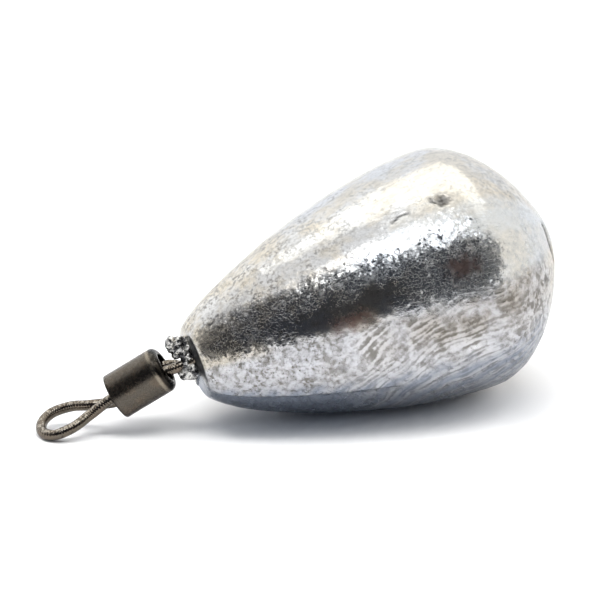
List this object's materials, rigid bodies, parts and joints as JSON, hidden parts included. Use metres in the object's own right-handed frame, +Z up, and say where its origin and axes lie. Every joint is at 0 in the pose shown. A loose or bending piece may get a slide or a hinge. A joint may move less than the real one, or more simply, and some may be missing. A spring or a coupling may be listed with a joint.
{
  "type": "fishing sinker",
  "caption": "Egg-shaped cast lead fishing sinker with a rolling swivel whose rear wire eye is cast into the nose and whose front eye takes the line.",
  "frame": {"origin": "centre of the small rest flat on the underside of the lead, on the ground", "axes": "+Z up, +X level along the sinker towards its tail, the swivel towards -X, +Y to the far side"},
  "size_m": [0.0456, 0.0214, 0.0216],
  "materials": {
    "cast_lead": "bright new lead, as cast",
    "swivel_wire": "dark bronze nickel plating",
    "swivel_barrel": "dark bronze nickel plating"
  },
  "bodies": {
    "sinker": {"lead_body": "cast_lead", "anchor_eye": "swivel_wire"},
    "barrel": {"swivel_barrel": "swivel_barrel"},
    "eye": {"line_eye": "swivel_wire"}
  },
  "joints": [
    {"name": "barrel_spin", "type": "hinge", "parent": "sinker", "child": "barrel", "pos_m": [-0.02133, 0.00101, 0.00514], "axis": [-0.8154, 0.2493, -0.5225], "continuous": true},
    {"name": "eye_spin", "type": "hinge", "parent": "barrel", "child": "eye", "pos_m": [-0.02333, 0.00162, 0.00386], "axis": [-0.8154, 0.2493, -0.5225], "continuous": true}
  ]
}
